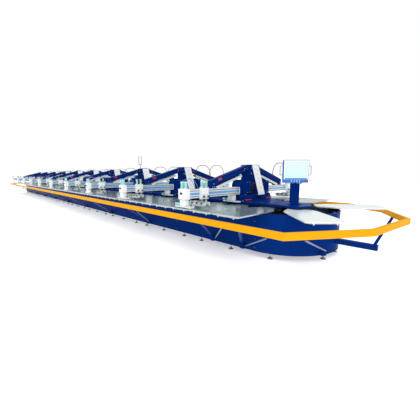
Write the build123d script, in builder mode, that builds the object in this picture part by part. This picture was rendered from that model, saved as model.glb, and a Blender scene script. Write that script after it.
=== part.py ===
from build123d import *
from math import atan2, cos, pi, radians, sin
import os

os.makedirs("parts", exist_ok=True)

# Oval automatic screen printing press, in millimetres. X runs along the machine, Z is up,
# and the origin is on the floor at the middle. "front" is the -Y side, "right" is the +X end.
# Both ends are half circles; the machine looks the same after half a turn about Z.

# Driving dimensions
STATIONS = 10
STATION_PITCH = 2360
PALLET_PITCH = 590
ROW_PALLETS = 40
END_STEPS = 5  # pallet pitches round each end
END_ANGLES = (-45, 36)  # where the pallets of an end stand
FIRST_STATION = 885  # from the right end's centre to the first tower
HALF_RUN = (ROW_PALLETS - 1) * PALLET_PITCH / 2  # machine centre to each end's centre
TRACK_R = END_STEPS * PALLET_PITCH / pi
SIDES = (("front", -1), ("rear", 1))
ENDS = (("right", 1), ("left", -1))
STATION_X = [HALF_RUN - FIRST_STATION - i * STATION_PITCH for i in range(STATIONS)]

# Heights
SKIRT_BOTTOM = 105
BEAM_TOP = 205
TRACK_TOP = 770
SKIRT_TOP = 800
PALLET_TOP = 860
DECK_BOTTOM = 880
DECK_TOP = 920
TOWER_FOOT = 1060
HOUSING_TOP = 1370
TOWER_TOP = 1690
ARM_BOTTOM = 1060
ARM_TOP = 1215

# Base
SKIRT_R = 1040
SKIRT_T = 6
BEAM_W = 100
CROSS_W = 80
SKIRT_PANELS = 10
PANEL_GAP = 2
COLUMN_W = 100
TRACK_W = 50
TRACK_H = 40
POST_W = 30
END_POST_ANGLES = (-54, 0, 54)
CURVE_RELIEF = 13  # the curves are narrower inside, which lets a row's end trolleys run past
FOOT_PAD_R = 48
FOOT_STEM_R = 10
FOOT_PAD_T = 20
FOOT_RIM_T = 8
FOOT_NUT_R = 18
FOOT_NUT_LOW = 78
FOOT_NUT_T = 14
END_FOOT_ANGLES = (-74, -17, 17, 74)
FOOT_OFFSETS = (270, -600, -1470)  # each module's feet, from its right edge
BEAM_MID = SKIRT_R - SKIRT_T - BEAM_W / 2
DRIVE_X = HALF_RUN - 380

# Pallets
PALLET_T = 22
PALLET_W = 568
PALLET_OUT = 1870
PALLET_SHOULDER = 905
PALLET_IN = 600
PALLET_NECK = 250
ARM_BAR_W = 60
ARM_BAR_IN = 640
ARM_BAR_OUT = 1560
TROLLEY_L = 120
TROLLEY_W = 140
TROLLEY_GAP = 2
ARM_BAR_LOW = SKIRT_TOP + 8
ROLLER_R = 20
ROLLER_T = 38
ROLLER_GAP = 1
LINK_W = 14
LINK_INSET = 50
LINK_LOW = TRACK_TOP + 8
PALLET_CUT = 20

# Print arms, carriages and screen clamps
ARM_HALF_W = 90
ARM_ROOT = 490
ARM_END = 1890
CAP_END = 1990
ROD_R = 9
ROD_BORE_R = 10
ROD_DEPTH = 70
INNER_CLAMP_Y = 640
OUTER_CLAMP_Y = 1940
CARRIAGE_Y = 1570
ROD_SPREAD = 100

# Guard rail: outer corners of the right end's nose, from that end's centre
RAIL_TOP = 783
RAIL_H = 93
RAIL_W = 50
RAIL_Y = 2030
NOSE = [(1090, -RAIL_Y), (1810, -990), (2020, 340), (1450, 1520), (640, RAIL_Y)]
SHOE_FIRST = 240
SHOE_SECOND = 1020
SHOE_PITCH = 2550
SHOE_COUNT = 9


def turned(points):
    """The same plan points after half a turn about the machine's centre."""
    return [(-x, -y) for x, y in points]


def prism(points, low, high):
    """A closed prism on a plan outline, for use inside a part block."""
    with BuildSketch(Plane.XY.offset(low)) as outline:
        with BuildLine():
            Polyline(*points, close=True)
        make_face()
    extrude(outline.sketch, amount=high - low)


def block(x, y, low, size_x, size_y, high, angle=0):
    """A box standing on height low, for use inside a part block."""
    with BuildSketch(Plane.XY.offset(low)) as outline:
        with Locations(Location((x, y, 0), (0, 0, angle))):
            Rectangle(size_x, size_y)
    extrude(outline.sketch, amount=high - low)


def bar(start, end, radius):
    """A round bar from start to end, for use inside a part block."""
    direction = Vector(*end) - Vector(*start)
    with BuildSketch(Plane(origin=start, z_dir=direction)) as outline:
        Circle(radius)
    extrude(outline.sketch, amount=direction.length)


def side_profile(x, points, half_width):
    """A Y-Z outline made symmetric about the plane at x, for use inside a part block."""
    with BuildSketch(Plane.YZ.offset(x)) as outline:
        with BuildLine():
            Polyline(*points, close=True)
        make_face()
    extrude(outline.sketch, amount=half_width, both=True)


def half_ring(end, inner, outer, low, high):
    """A half ring round one end's centre, for use inside a part block."""
    with BuildSketch(Plane.XY.offset(low)) as outline:
        with Locations((end * HALF_RUN, 0)):
            Circle(outer)
            Circle(inner, mode=Mode.SUBTRACT)
        with Locations((end * (HALF_RUN - outer), 0)):
            Rectangle(2 * outer, 2 * outer + 2, mode=Mode.SUBTRACT)
    extrude(outline.sketch, amount=high - low)


def polar(end, radius, angle):
    """A plan point at one end; angle 0 points outwards and 90 towards that end's rear."""
    turn = radians(angle)
    return end * (HALF_RUN + radius * cos(turn)), end * radius * sin(turn)


# Base frame -----------------------------------------------------------------------------

for side_name, side in SIDES:
    with BuildPart() as skirt:
        panel = 2 * HALF_RUN / SKIRT_PANELS
        for i in range(SKIRT_PANELS):
            middle = -HALF_RUN + (i + 0.5) * panel
            skirt_y = side * (SKIRT_R - SKIRT_T / 2)
            block(middle, skirt_y, SKIRT_BOTTOM, panel - PANEL_GAP, SKIRT_T, SKIRT_TOP)
    skirt.part.label = f"skirt_{side_name}"
    export_step(skirt.part, f"parts/{skirt.part.label}.step")

for end_name, end in ENDS:
    with BuildPart() as skirt_end:
        half_ring(end, SKIRT_R - SKIRT_T, SKIRT_R, SKIRT_BOTTOM, SKIRT_TOP)
    skirt_end.part.label = f"skirt_{end_name}_end"
    export_step(skirt_end.part, f"parts/{skirt_end.part.label}.step")

with BuildPart() as base_beams:
    for _, side in SIDES:
        block(0, side * BEAM_MID, SKIRT_BOTTOM, 2 * HALF_RUN, BEAM_W, BEAM_TOP)
base_beams.part.label = "base_beams"
export_step(base_beams.part, "parts/base_beams.step")

with BuildPart() as base_rings:
    for _, end in ENDS:
        half_ring(end, BEAM_MID - BEAM_W / 2, BEAM_MID + BEAM_W / 2, SKIRT_BOTTOM, BEAM_TOP)
base_rings.part.label = "base_rings"
export_step(base_rings.part, "parts/base_rings.step")

with BuildPart() as crossmembers:
    for x in [*STATION_X, HALF_RUN - CROSS_W / 2, CROSS_W / 2 - HALF_RUN, DRIVE_X]:
        block(x, 0, SKIRT_BOTTOM, CROSS_W, 2 * BEAM_MID - BEAM_W, SKIRT_BOTTOM + CROSS_W)
crossmembers.part.label = "base_crossmembers"
export_step(crossmembers.part, "parts/base_crossmembers.step")

# Feet: three to a module on each side, and two more under each round end
foot_places = []
for x in STATION_X:
    for offset in FOOT_OFFSETS:
        foot_x = x + FIRST_STATION + offset
        if abs(foot_x) < HALF_RUN:
            foot_places += [(foot_x, -BEAM_MID), (-foot_x, BEAM_MID)]
for _, end in ENDS:
    for angle in END_FOOT_ANGLES:
        foot_places.append(polar(end, BEAM_MID, angle))

with BuildPart() as foot_stems:
    with BuildSketch(Plane.XY.offset(FOOT_PAD_T)):
        with Locations(*foot_places):
            Circle(FOOT_STEM_R)
    extrude(amount=SKIRT_BOTTOM - FOOT_PAD_T)
    with BuildSketch(Plane.XY.offset(FOOT_NUT_LOW)):
        with Locations(*foot_places):
            RegularPolygon(FOOT_NUT_R, 6)
    extrude(amount=FOOT_NUT_T)
foot_stems.part.label = "foot_stems"
export_step(foot_stems.part, "parts/foot_stems.step")

with BuildPart() as foot_pads:
    with BuildSketch():
        with Locations(*foot_places):
            Circle(FOOT_PAD_R)
    extrude(amount=FOOT_RIM_T)
    with BuildSketch(Plane.XY.offset(FOOT_RIM_T)):
        with Locations(*foot_places):
            Circle(FOOT_PAD_R - 4)
    extrude(amount=FOOT_PAD_T - FOOT_RIM_T, taper=55)
foot_pads.part.label = "foot_pads"
export_step(foot_pads.part, "parts/foot_pads.step")

# Pallet track on its posts --------------------------------------------------------------

with BuildPart() as track_rails:
    for _, side in SIDES:
        block(0, side * TRACK_R, TRACK_TOP - TRACK_H, 2 * HALF_RUN, TRACK_W, TRACK_TOP)
track_rails.part.label = "track_rails"
export_step(track_rails.part, "parts/track_rails.step")

with BuildPart() as track_curves:
    for _, end in ENDS:
        curve_inner = TRACK_R - TRACK_W / 2 + CURVE_RELIEF
        half_ring(end, curve_inner, TRACK_R + TRACK_W / 2, TRACK_TOP - TRACK_H, TRACK_TOP)
track_curves.part.label = "track_curves"
export_step(track_curves.part, "parts/track_curves.step")

with BuildPart() as track_posts:
    for x in STATION_X:
        for _, side in SIDES:
            block(x, side * (TRACK_R + POST_W / 2), BEAM_TOP, 2 * POST_W, POST_W, TRACK_TOP - TRACK_H)
    for _, end in ENDS:
        for angle in END_POST_ANGLES:
            x, y = polar(end, TRACK_R + POST_W / 2, angle)
            block(x, y, BEAM_TOP, POST_W, 2 * POST_W, TRACK_TOP - TRACK_H, angle)
track_posts.part.label = "track_posts"
export_step(track_posts.part, "parts/track_posts.step")

# Deck and its columns -------------------------------------------------------------------

DECK_HALF_W = 560
# The deck's right end, from that end's centre: a platform on the operator's side
DECK_NOSE = [(560, -DECK_HALF_W), (690, -280), (470, 130), (-150, 130), (-300, DECK_HALF_W)]
COLUMN_R = 60
SUMP_TOP = SKIRT_BOTTOM + CROSS_W

with BuildPart() as deck_columns:
    for x in STATION_X[1:-1]:
        block(x, 0, SUMP_TOP, COLUMN_W, COLUMN_W, DECK_BOTTOM)
    for _, end in ENDS:
        with BuildSketch(Plane.XY.offset(SUMP_TOP)):
            with Locations((end * HALF_RUN, 0)):
                Circle(COLUMN_R)
        extrude(amount=DECK_BOTTOM - SUMP_TOP)
deck_columns.part.label = "deck_columns"
export_step(deck_columns.part, "parts/deck_columns.step")

with BuildPart() as deck_plates:
    nose = [(HALF_RUN + x, y) for x, y in DECK_NOSE]
    seams = [x - STATION_PITCH / 2 for x in STATION_X[:-1]]
    first, last = seams[0] + PANEL_GAP, seams[-1]
    prism([(first, -DECK_HALF_W), *nose, (first, DECK_HALF_W)], DECK_BOTTOM, DECK_TOP)
    for right, left in zip(seams, seams[1:]):
        middle = (right + left + PANEL_GAP) / 2
        block(middle, 0, DECK_BOTTOM, right - left - PANEL_GAP, 2 * DECK_HALF_W, DECK_TOP)
    prism([(last, DECK_HALF_W), *turned(nose), (last, -DECK_HALF_W)], DECK_BOTTOM, DECK_TOP)
deck_plates.part.label = "deck_plates"
export_step(deck_plates.part, "parts/deck_plates.step")

# Towers ---------------------------------------------------------------------------------

BASE_X = 460
BASE_SHIFT = 20
BASE_CHAMFER = 25
HOUSING_HALF_X = 130
HOUSING_CUT = 90
HEAD_HALF_Y = 170
PANEL_FOOT_X = 325
PANEL_FOOT_LOW = 1040
PANEL_FOOT_TOP = 1070
PANEL_T = 8
PANEL_HALF_Y = 120

with BuildPart() as tower_bases:
    for x in STATION_X:
        block(x + BASE_SHIFT, 0, DECK_TOP, BASE_X, 2 * ARM_ROOT, TOWER_FOOT)
    tops = tower_bases.faces().filter_by(Plane.XY).sort_by(Axis.Z)[-STATIONS:]
    chamfer(tops.edges(), BASE_CHAMFER)
tower_bases.part.label = "tower_bases"
export_step(tower_bases.part, "parts/tower_bases.step")

with BuildPart() as towers:
    for x in STATION_X:
        profile = [(-ARM_ROOT, TOWER_FOOT), (ARM_ROOT, TOWER_FOOT), (ARM_ROOT, HOUSING_TOP - HOUSING_CUT)]
        profile += [(ARM_ROOT - HOUSING_CUT, HOUSING_TOP), (HEAD_HALF_Y, HOUSING_TOP)]
        profile.append((HEAD_HALF_Y, TOWER_TOP))
        profile += [(-HEAD_HALF_Y, TOWER_TOP), (-HEAD_HALF_Y, HOUSING_TOP)]
        profile += [(HOUSING_CUT - ARM_ROOT, HOUSING_TOP), (-ARM_ROOT, HOUSING_TOP - HOUSING_CUT)]
        side_profile(x, profile, HOUSING_HALF_X)
towers.part.label = "towers"
export_step(towers.part, "parts/towers.step")

# White front covers lean out from each tower's head to the front of its base
with BuildPart() as tower_covers:
    for x in STATION_X:
        with BuildSketch(Plane.XZ):
            with BuildLine():
                Polyline(
                    (x + HOUSING_HALF_X, TOWER_TOP),
                    (x + HOUSING_HALF_X + PANEL_T, TOWER_TOP),
                    (x + PANEL_FOOT_X, PANEL_FOOT_TOP),
                    (x + PANEL_FOOT_X, PANEL_FOOT_LOW),
                    (x + BASE_SHIFT + BASE_X / 2, PANEL_FOOT_LOW),
                    (x + BASE_SHIFT + BASE_X / 2, TOWER_FOOT),
                    (x + HOUSING_HALF_X, TOWER_FOOT),
                    close=True,
                )
            make_face()
        extrude(amount=PANEL_HALF_Y, both=True)
tower_covers.part.label = "tower_covers"
export_step(tower_covers.part, "parts/tower_covers.step")

# Sloping truss beams, from each tower's head down to the print arms
BEAM_END = 1320
BEAM_END_TOP = 1360
BEAM_ROOT_LOW = 1560
SEAT_TOP = 1262
BEAM_SEAT = 120
BEAM_HALF_X = 55
with BuildPart() as truss_beams:
    for x in STATION_X:
        for _, side in SIDES:
            profile = [(side * HEAD_HALF_Y, TOWER_TOP), (side * BEAM_END, BEAM_END_TOP)]
            profile.append((side * BEAM_END, ARM_TOP))
            profile += [(side * (BEAM_END - BEAM_SEAT), ARM_TOP), (side * (BEAM_END - BEAM_SEAT), SEAT_TOP)]
            profile += [(side * HEAD_HALF_Y, BEAM_ROOT_LOW)]
            side_profile(x, profile, BEAM_HALF_X)
truss_beams.part.label = "truss_beams"
export_step(truss_beams.part, "parts/truss_beams.step")

# Print arms -----------------------------------------------------------------------------

STRIPE_T = 3
STRIPE_LOW = 1118
STRIPE_H = 40
STRIPE_SHORT = 20
CAP_HALF_X = 98
CAP_LOW = 1045
CAP_HIGH = 1226

for side_name, side in SIDES:
    with BuildPart() as print_arms:
        for x in STATION_X:
            middle = side * (ARM_ROOT + ARM_END) / 2
            block(x, middle, ARM_BOTTOM, 2 * ARM_HALF_W, ARM_END - ARM_ROOT, ARM_TOP)
            with BuildSketch(Plane.XY.offset(ARM_BOTTOM)):
                with Locations((x, side * INNER_CLAMP_Y)):
                    with GridLocations(ROD_SPREAD, 1, 2, 1):
                        Circle(ROD_BORE_R)
            extrude(amount=ROD_DEPTH, mode=Mode.SUBTRACT)
    print_arms.part.label = f"print_arms_{side_name}"
    export_step(print_arms.part, f"parts/{print_arms.part.label}.step")

    with BuildPart() as arm_caps:
        for x in STATION_X:
            middle = side * (ARM_END + CAP_END) / 2
            block(x, middle, CAP_LOW, 2 * CAP_HALF_X, CAP_END - ARM_END, CAP_HIGH)
            with BuildSketch(Plane.XY.offset(CAP_LOW)):
                with Locations((x, side * OUTER_CLAMP_Y)):
                    with GridLocations(ROD_SPREAD, 1, 2, 1):
                        Circle(ROD_BORE_R)
            extrude(amount=ROD_DEPTH, mode=Mode.SUBTRACT)
    arm_caps.part.label = f"arm_caps_{side_name}"
    export_step(arm_caps.part, f"parts/{arm_caps.part.label}.step")

with BuildPart() as arm_stripes:
    for x in STATION_X:
        for _, side in SIDES:
            for face in (-1, 1):
                stripe_x = x + face * (ARM_HALF_W + STRIPE_T / 2)
                middle = side * (ARM_ROOT + ARM_END) / 2
                length = ARM_END - ARM_ROOT - STRIPE_SHORT
                block(stripe_x, middle, STRIPE_LOW, STRIPE_T, length, STRIPE_LOW + STRIPE_H)
arm_stripes.part.label = "arm_stripes"
export_step(arm_stripes.part, "parts/arm_stripes.step")

# Clear pneumatic cylinders on the arms' ends, which lift the screen clamps
LIFT_CYLINDER_R = 21
LIFT_CYLINDER_H = 130
with BuildPart() as lift_cylinders:
    with BuildSketch(Plane.XY.offset(CAP_HIGH)):
        with Locations(*[(x, side * OUTER_CLAMP_Y) for x in STATION_X for _, side in SIDES]):
            with GridLocations(ROD_SPREAD, 1, 2, 1):
                Circle(LIFT_CYLINDER_R)
    extrude(amount=LIFT_CYLINDER_H)
lift_cylinders.part.label = "lift_cylinders"
export_step(lift_cylinders.part, "parts/lift_cylinders.step")

# Screen clamps: an outer and an inner clamp bar on each arm, hanging on rods
CLAMP_HALF_X = 210
CLAMP_LOW = 905
CLAMP_W = 90
CLAMP_H = 26
HANGER_HALF_X = 66
HANGER_W = 60
HANGER_TOP = 1000
ROD_CLEARANCE = 10
for side_name, side in SIDES:
    with BuildPart() as clamps:
        for x in STATION_X:
            for centre, rod_base in ((OUTER_CLAMP_Y, CAP_LOW), (INNER_CLAMP_Y, ARM_BOTTOM)):
                y = side * centre
                block(x, y, CLAMP_LOW, 2 * CLAMP_HALF_X, CLAMP_W, CLAMP_LOW + CLAMP_H)
                block(x, y, CLAMP_LOW + CLAMP_H, 2 * HANGER_HALF_X, HANGER_W, HANGER_TOP)
                with BuildSketch(Plane.XY.offset(HANGER_TOP)):
                    with Locations((x, y)):
                        with GridLocations(ROD_SPREAD, 1, 2, 1):
                            Circle(ROD_R)
                extrude(amount=rod_base + ROD_DEPTH - ROD_CLEARANCE - HANGER_TOP)
    clamps.part.label = f"screen_clamps_{side_name}"
    export_step(clamps.part, f"parts/{clamps.part.label}.step")

# Squeegee carriages run along the right-hand face of each arm
CARRIAGE_IN = ARM_HALF_W + STRIPE_T + 2
CARRIAGE_T = 46
CARRIAGE_HALF_Y = 95
CARRIAGE_LOW = 1036
CARRIAGE_HIGH = 1245
CYLINDER_R = 20
CYLINDER_H = 120
TOOL_SPREAD = 100
ROD_X = CARRIAGE_IN + CARRIAGE_T / 2
BLADE_LOW = 897
BLADE_T = 9
BLADE_INSET = 15
HOLDER_LOW = 925
HOLDER_TOP = 980
HOLDER_T = 26
RISER_W = 30
RISER_TOP = 1000
TOOL_HALF_X = 200
TOOL_ROD_CLEARANCE = 25
for side_name, side in SIDES:
    centre_y = side * CARRIAGE_Y
    with BuildPart() as carriages:
        for x in STATION_X:
            block(x + ROD_X, centre_y, CARRIAGE_LOW, CARRIAGE_T, 2 * CARRIAGE_HALF_Y, CARRIAGE_HIGH)
            with BuildSketch(Plane.XY.offset(CARRIAGE_LOW)):
                with Locations((x + ROD_X, centre_y)):
                    with GridLocations(1, TOOL_SPREAD, 1, 2):
                        Circle(ROD_BORE_R)
            extrude(amount=ROD_DEPTH, mode=Mode.SUBTRACT)
    carriages.part.label = f"carriages_{side_name}"
    export_step(carriages.part, f"parts/{carriages.part.label}.step")

    with BuildPart() as cylinders:
        with BuildSketch(Plane.XY.offset(CARRIAGE_HIGH)):
            with Locations(*[(x + ROD_X, centre_y) for x in STATION_X]):
                with GridLocations(1, TOOL_SPREAD, 1, 2):
                    Circle(CYLINDER_R)
        extrude(amount=CYLINDER_H)
    cylinders.part.label = f"stroke_cylinders_{side_name}"
    export_step(cylinders.part, f"parts/{cylinders.part.label}.step")

    # The squeegee hangs on the rod towards +Y and the flood bar on the other one
    for tool_name, offset in (("squeegees", TOOL_SPREAD / 2), ("flood_bars", -TOOL_SPREAD / 2)):
        tool_y = centre_y + offset
        with BuildPart() as tools:
            for x in STATION_X:
                block(x, tool_y, HOLDER_LOW, 2 * TOOL_HALF_X, HOLDER_T, HOLDER_TOP)
                block(x, tool_y, BLADE_LOW, 2 * (TOOL_HALF_X - BLADE_INSET), BLADE_T, HOLDER_LOW)
                block(x + ROD_X, tool_y, HOLDER_TOP, RISER_W, HOLDER_T, RISER_TOP)
                with BuildSketch(Plane.XY.offset(RISER_TOP)):
                    with Locations((x + ROD_X, tool_y)):
                        Circle(ROD_R)
                extrude(amount=CARRIAGE_LOW + ROD_DEPTH - TOOL_ROD_CLEARANCE - RISER_TOP)
        tools.part.label = f"{tool_name}_{side_name}"
        export_step(tools.part, f"parts/{tools.part.label}.step")

# Pallets and their trolleys -------------------------------------------------------------


def pallet_outline(half_w, neck):
    """Half-symmetric plan of a pallet pointing along +X from the track's centre."""
    inner = [(PALLET_IN, -neck), (PALLET_SHOULDER, -half_w)]
    outer = [(PALLET_OUT - PALLET_CUT, -half_w), (PALLET_OUT, -half_w + PALLET_CUT)]
    near = inner + outer
    return near + [(x, -y) for x, y in reversed(near)]


ROW_X = [HALF_RUN - i * PALLET_PITCH for i in range(ROW_PALLETS)]
# Each place is a centre and the direction in which its pallet points, in degrees
ROW_PLACES = {name: [(x, 0, side * 90) for x in ROW_X] for name, side in SIDES}
END_PLACES = {
    name: [(end * HALF_RUN, 0, angle if end > 0 else angle + 180) for angle in END_ANGLES]
    for name, end in ENDS
}

for group, places in {**ROW_PLACES, **END_PLACES}.items():
    spots = [Location((x, y, 0), (0, 0, angle)) for x, y, angle in places]
    with BuildPart() as pallets:
        with BuildSketch(Plane.XY.offset(PALLET_TOP - PALLET_T)):
            with Locations(*spots):
                Polygon(*pallet_outline(PALLET_W / 2, PALLET_NECK / 2), align=None)
        extrude(amount=PALLET_T)
    pallets.part.label = f"pallets_{group}"
    export_step(pallets.part, f"parts/{pallets.part.label}.step")

    with BuildPart() as trolleys:
        with BuildSketch(Plane.XY.offset(ARM_BAR_LOW)):
            with Locations(*[spot * Location(((ARM_BAR_IN + ARM_BAR_OUT) / 2, 0, 0)) for spot in spots]):
                Rectangle(ARM_BAR_OUT - ARM_BAR_IN, ARM_BAR_W)
        extrude(amount=PALLET_TOP - PALLET_T - ARM_BAR_LOW)
        with BuildSketch(Plane.XY.offset(TRACK_TOP + TROLLEY_GAP)):
            with Locations(*[spot * Location((TRACK_R, 0, 0)) for spot in spots]):
                Rectangle(TROLLEY_W, TROLLEY_L)
        extrude(amount=ARM_BAR_LOW - TRACK_TOP - TROLLEY_GAP)
        with BuildSketch(Plane.XY.offset(TRACK_TOP + TROLLEY_GAP - ROLLER_T)):
            roller_offset = TRACK_W / 2 + ROLLER_R + ROLLER_GAP
            for radius in (TRACK_R - roller_offset, TRACK_R + roller_offset):
                with Locations(*[spot * Location((radius, 0, 0)) for spot in spots]):
                    Circle(ROLLER_R)
        extrude(amount=ROLLER_T)
        if group in ROW_PLACES:
            side = dict(SIDES)[group]
            for left, right in zip(ROW_X[1:], ROW_X):
                link_length = PALLET_PITCH - TROLLEY_L
                middle = (left + right) / 2
                block(middle, side * (TRACK_R - LINK_INSET), LINK_LOW, link_length, LINK_W, SKIRT_TOP)
    trolleys.part.label = f"trolleys_{group}"
    export_step(trolleys.part, f"parts/{trolleys.part.label}.step")

# Index drive ----------------------------------------------------------------------------

WHEEL_R = 845
WHEEL_LOW = 700
WHEEL_T = 18
HUB_R = 300
HUB_T = 40
HUB_BORE_R = 75
LIGHTENING_HOLES = 8
LIGHTENING_R = 185
LIGHTENING_AT = 565
GEARBOX_LOW = 430
GEARBOX_TOP = 640
GEARBOX_X = 240
GEARBOX_Y = 260
GEARBOX_FILLET = 30
MOTOR_R = 85
PINION_LOW = 650
PINION_T = 45
SHAFT_R = 20
for end_name, end in ENDS:
    wheel_name = "drive_wheel" if end > 0 else "idler_wheel"
    with BuildPart() as wheel:
        with BuildSketch(Plane.XY.offset(WHEEL_LOW)):
            with Locations((end * HALF_RUN, 0)):
                Circle(WHEEL_R)
                Circle(HUB_BORE_R, mode=Mode.SUBTRACT)
                with PolarLocations(LIGHTENING_AT, LIGHTENING_HOLES):
                    Circle(LIGHTENING_R, mode=Mode.SUBTRACT)
        extrude(amount=WHEEL_T)
        with BuildSketch(Plane.XY.offset(WHEEL_LOW - HUB_T)):
            with Locations((end * HALF_RUN, 0)):
                Circle(HUB_R)
                Circle(HUB_BORE_R, mode=Mode.SUBTRACT)
        extrude(amount=HUB_T)
    wheel.part.label = wheel_name
    export_step(wheel.part, f"parts/{wheel_name}.step")

with BuildPart() as gearbox:
    block(DRIVE_X, 0, GEARBOX_LOW, GEARBOX_X, GEARBOX_Y, GEARBOX_TOP)
    fillet(gearbox.edges().filter_by(Axis.Z), GEARBOX_FILLET)
gearbox.part.label = "drive_gearbox"
export_step(gearbox.part, "parts/drive_gearbox.step")

with BuildPart() as motor:
    with BuildSketch(Plane.XY.offset(SUMP_TOP)):
        with Locations((DRIVE_X, 0)):
            Circle(MOTOR_R)
    extrude(amount=GEARBOX_LOW - SUMP_TOP)
motor.part.label = "drive_motor"
export_step(motor.part, "parts/drive_motor.step")

# A plain pinion on the gearbox's shaft, against the drive wheel's hub
with BuildPart() as pinion:
    with BuildSketch(Plane.XY.offset(GEARBOX_TOP + 1)):
        with Locations((DRIVE_X, 0)):
            Circle(SHAFT_R)
    extrude(amount=PINION_LOW - GEARBOX_TOP - 1)
    with BuildSketch(Plane.XY.offset(PINION_LOW)):
        with Locations((DRIVE_X, 0)):
            Circle(HALF_RUN - DRIVE_X - HUB_R - 1)
    extrude(amount=PINION_T)
pinion.part.label = "drive_pinion"
export_step(pinion.part, "parts/drive_pinion.step")

# Guard rail -----------------------------------------------------------------------------


def inner_corners(points):
    """The corners of a counter-clockwise open line moved inwards by the rail's width."""
    moved = []
    for before, here, after in zip(points, points[1:], points[2:]):
        one = atan2(here[1] - before[1], here[0] - before[0])
        two = atan2(after[1] - here[1], after[0] - here[0])
        bisector = (one + two) / 2 + pi / 2
        reach = RAIL_W / cos((two - one) / 2)
        moved.append((here[0] + reach * cos(bisector), here[1] + reach * sin(bisector)))
    return moved


rail_corners = [(HALF_RUN + x, y) for x, y in NOSE]
loop = rail_corners + turned(rail_corners)
inner_loop = inner_corners([loop[-1], *loop, loop[0]])
rail_segments = list(zip(loop, loop[1:] + loop[:1], inner_loop, inner_loop[1:] + inner_loop[:1]))
rail_groups = {
    "guard_rail_right": rail_segments[0:4],
    "guard_rail_left": rail_segments[5:9],
    "guard_rail_sides": rail_segments[4:5] + rail_segments[9:10],
}
for rail_name, segments in rail_groups.items():
    solids = []
    for outer_start, outer_end, inner_start, inner_end in segments:
        with BuildPart() as segment:
            prism([outer_start, outer_end, inner_end, inner_start], RAIL_TOP - RAIL_H, RAIL_TOP)
        solids.append(segment.part.solid())
    rail = Compound(children=solids, label=rail_name)
    export_step(rail, f"parts/{rail_name}.step")

# Rail supports: a shoe on the skirt, a raking strut and a longer, thinner brace
SHOE_W = 90
SHOE_DEPTH = 70
SHOE_LOW = SKIRT_BOTTOM + 5
SHOE_TOP = 205
END_SHOE_ANGLE = -24
RAIL_LOW = RAIL_TOP - RAIL_H
STRUT_W = 40
STRUT_RUN = 650
BRACE_R = 12
BRACE_RUN = 1080
BRACE_LOW = SKIRT_BOTTOM + 60
BRACE_TOP = RAIL_LOW - BRACE_R - 4
END_BRACE_HEAD = (1235, -1765)
OUTRIGGER_LOW = 250
OUTRIGGER_TOP = 340
OUTRIGGER_W = 90
OUTRIGGER_IN = SKIRT_R + 1
OUTRIGGER_END = 1680
RAKER_W = 48
RAKER_HEAD = (1700, 950)
shoe_x = [HALF_RUN - SHOE_FIRST, *[HALF_RUN - SHOE_SECOND - i * SHOE_PITCH for i in range(SHOE_COUNT)]]
shoe_spots = [(x, -1) for x in shoe_x] + [(-x, 1) for x in shoe_x]


def raker(foot, foot_z, head, width):
    """A raking square bar from a foot up to the rail's underside, for use inside a part block."""
    with BuildSketch(Plane.XY.offset(foot_z)) as low:
        with Locations(foot):
            Rectangle(width, width)
    with BuildSketch(Plane.XY.offset(RAIL_LOW)) as high:
        with Locations(head):
            Rectangle(width, width)
    loft([low.sketch.face(), high.sketch.face()])


with BuildPart() as shoes:
    for x, side in shoe_spots:
        block(x, side * (SKIRT_R + SHOE_DEPTH / 2), SHOE_LOW, SHOE_W, SHOE_DEPTH, SHOE_TOP)
    for _, end in ENDS:
        x, y = polar(end, SKIRT_R + SHOE_DEPTH / 2 + 3, END_SHOE_ANGLE)
        block(x, y, SHOE_LOW, SHOE_DEPTH, SHOE_W, SHOE_TOP, END_SHOE_ANGLE)
shoes.part.label = "rail_shoes"
export_step(shoes.part, "parts/rail_shoes.step")

with BuildPart() as struts:
    for x, side in shoe_spots:
        foot = (x, side * (SKIRT_R + SHOE_DEPTH - STRUT_W / 2))
        raker(foot, SHOE_TOP, (x - side * STRUT_RUN, side * (RAIL_Y - RAIL_W / 2)), STRUT_W)
    for _, end in ENDS:
        middle = end * (HALF_RUN + (OUTRIGGER_IN + OUTRIGGER_END) / 2)
        block(middle, 0, OUTRIGGER_LOW, OUTRIGGER_END - OUTRIGGER_IN, OUTRIGGER_W, OUTRIGGER_TOP)
        foot = (end * (HALF_RUN + OUTRIGGER_END - RAKER_W), 0)
        raker(foot, OUTRIGGER_TOP, (end * (HALF_RUN + RAKER_HEAD[0]), end * RAKER_HEAD[1]), RAKER_W)
struts.part.label = "rail_struts"
export_step(struts.part, "parts/rail_struts.step")

with BuildPart() as braces:
    for x, side in shoe_spots:
        start = (x - side * (SHOE_W / 2 + BRACE_R + 2), side * (SKIRT_R + SHOE_DEPTH / 2), BRACE_LOW)
        bar(start, (x - side * BRACE_RUN, side * (RAIL_Y - RAIL_W / 2), BRACE_TOP), BRACE_R)
    for _, end in ENDS:
        x, y = polar(end, SKIRT_R + SHOE_DEPTH + BRACE_R + 13, END_SHOE_ANGLE)
        head_x, head_y = END_BRACE_HEAD
        bar((x, y, SHOE_TOP + 2), (end * (HALF_RUN + head_x), end * head_y, BRACE_TOP), BRACE_R)
braces.part.label = "rail_braces"
export_step(braces.part, "parts/rail_braces.step")

# Operator panel on its pillar at the right end ------------------------------------------

PANEL_X = HALF_RUN + 330
PANEL_Y = -250
PANEL_TURN = -45
PILLAR_W = 160
PILLAR_D = 70
PILLAR_TOP = 1322
PILLAR_GAP = 4
NECK_R = 28
BOX_W = 470
BOX_H = 420
BOX_D = 70
BOX_CORNER_R = 14
BEZEL_T = 8
BAND_H = 70
DISPLAY_MARGIN = 32
DISPLAY_SINK = 3
BUTTON_R = 17
BUTTON_T = 12
BUTTON_PROUD = 8
BUTTON_STEM_R = 8
BUTTON_STEM_L = 20
BUTTON_AT = (BOX_W / 2 - 50, BAND_H / 2)
panel_plane = Plane(origin=(PANEL_X, PANEL_Y, PILLAR_TOP + PILLAR_GAP), x_dir=(1, 1, 0), z_dir=(1, -1, 0))

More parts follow.
